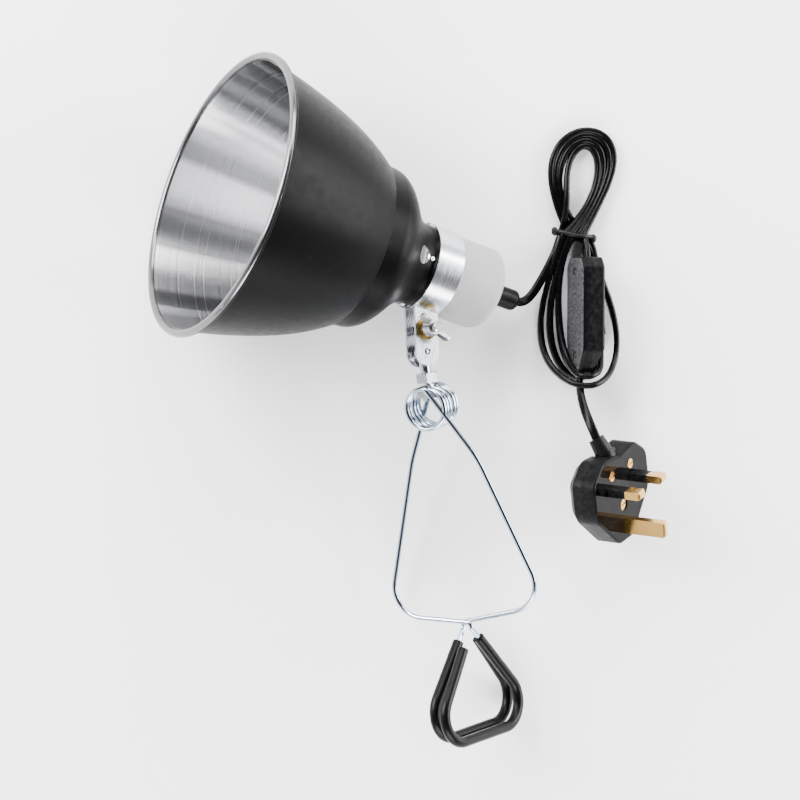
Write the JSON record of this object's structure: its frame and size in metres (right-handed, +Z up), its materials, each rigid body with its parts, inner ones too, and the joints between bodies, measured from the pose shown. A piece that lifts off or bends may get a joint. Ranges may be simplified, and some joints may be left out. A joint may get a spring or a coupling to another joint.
{
  "type": "heat lamp fixture",
  "caption": "Clip-on heat lamp with a spun bowl reflector, ceramic lampholder, ball joint with wing nut, wire spring clamp with dipped jaws, and a bundled switched lead with plug.",
  "frame": {"origin": "on the surface the fixture lies on, under the centre of the fixture without its lead", "axes": "+Z up from the surface, +Y from the clamp's jaws towards the reflector, +X towards the lead and plug"},
  "size_m": [0.2557, 0.3368, 0.1347],
  "materials": {
    "shade": "satin charcoal lacquer outside, bright spun aluminium inside",
    "bare_aluminium": "plain",
    "ceramic": "fired, unglazed off-white ceramic",
    "brass": "turned and stamped",
    "black_moulding": "fine textured",
    "core_insulation": "smooth",
    "zinc_steel": "zinc plated",
    "yellow_zinc": "yellow zinc plated",
    "cast_wing": "zinc plated casting",
    "spring_wire": "bright plated wire",
    "vinyl": "dipped vinyl",
    "lead": "flat twin lead, satin",
    "tie_plastic": "plastic covered wire",
    "bright_steel": "plated",
    "gloss_black": "glossy face, matt edge",
    "fuse_ceramic": "plain",
    "rubber_guard": "moulded"
  },
  "bodies": {
    "head": {"centre_contact": "brass", "clamp_bolt": "zinc_steel", "collar_band": "zinc_steel", "cord_gland": "black_moulding", "cord_grip_bar": "black_moulding", "cord_grip_screws": "brass", "cord_tie": "tie_plastic", "cover_screw": "brass", "earth_pin": "brass", "flat_washer": "yellow_zinc", "fuse_body": "fuse_ceramic", "fuse_caps": "bright_steel", "fuse_clips": "brass", "hank_lower_lobe": "lead", "hank_upper_lobe": "lead", "insulating_disc": "black_moulding", "lampholder_front": "ceramic", "lampholder_rear": "ceramic", "lead_guard": "rubber_guard", "lead_lamp_end": "lead", "lead_plug_end": "lead", "live_core": "core_insulation", "live_pin": "brass", "live_pin_sleeve": "black_moulding", "live_terminal": "brass", "neutral_core": "core_insulation", "neutral_pin": "brass", "neutral_pin_sleeve": "black_moulding", "neutral_terminal": "brass", "plug_base": "gloss_black", "plug_cover": "gloss_black", "reflector_shade": "shade", "retaining_ring": "ceramic", "screw_shell": "bare_aluminium", "shade_rivets": "bare_aluminium", "spring_washer": "yellow_zinc", "switch_base": "black_moulding", "switch_bridge": "brass", "switch_contacts": "brass", "switch_cover": "black_moulding", "switch_screws": "bright_steel", "terminal_screws": "brass"},
    "ball": {"ball_stud": "zinc_steel", "stud_nut": "zinc_steel", "stud_end_ring": "zinc_steel"},
    "clamp": {"coil_saddle": "zinc_steel", "coil_middle": "spring_wire"},
    "right_arm": {"spring_arm_right": "spring_wire", "jaw_sleeve_right": "vinyl"},
    "left_arm": {"spring_arm_left": "spring_wire", "jaw_sleeve_left": "vinyl"},
    "wing_nut": {"wing_nut": "cast_wing"},
    "rocker": {"switch_rocker": "black_moulding"}
  },
  "joints": [
    {"name": "ball_tilt", "type": "hinge", "parent": "head", "child": "ball", "pos_m": [0.03912, 0.0251, 0.03565], "axis": [0.3788, 0.1123, 0.9186], "range_deg": [-60, 15]},
    {"name": "clamp_swivel", "type": "hinge", "parent": "ball", "child": "clamp", "pos_m": [0.04252, 0.00542, 0.0345], "axis": [0.17, -0.9838, -0.0578], "continuous": true},
    {"name": "jaw_open", "type": "hinge", "parent": "clamp", "child": "right_arm", "pos_m": [0.04374, -0.00166, 0.03408], "axis": [0.5614, 0.1448, -0.8148], "range_deg": [0, 12], "stiffness_Nm_per_rad": 3, "springref_deg": -28.65},
    {"name": "jaw_follow", "type": "hinge", "parent": "clamp", "child": "left_arm", "pos_m": [0.04374, -0.00166, 0.03408], "axis": [0.5614, 0.1448, -0.8148], "range_deg": [-12, 0], "stiffness_Nm_per_rad": 3, "springref_deg": 28.65},
    {"name": "wing_nut_turn", "type": "hinge", "parent": "head", "child": "wing_nut", "pos_m": [0.0388, 0.03603, 0.03445], "axis": [0.3788, 0.1123, 0.9186], "continuous": true},
    {"name": "rocker_press", "type": "hinge", "parent": "head", "child": "rocker", "pos_m": [0.12666, 0.0389, 0.01277], "axis": [-0.1736, 0.0024, -0.9848], "range_deg": [0, 14]}
  ],
  "couplings": [
    {"joint": "jaw_follow", "follows": "jaw_open", "ratio": -1}
  ]
}
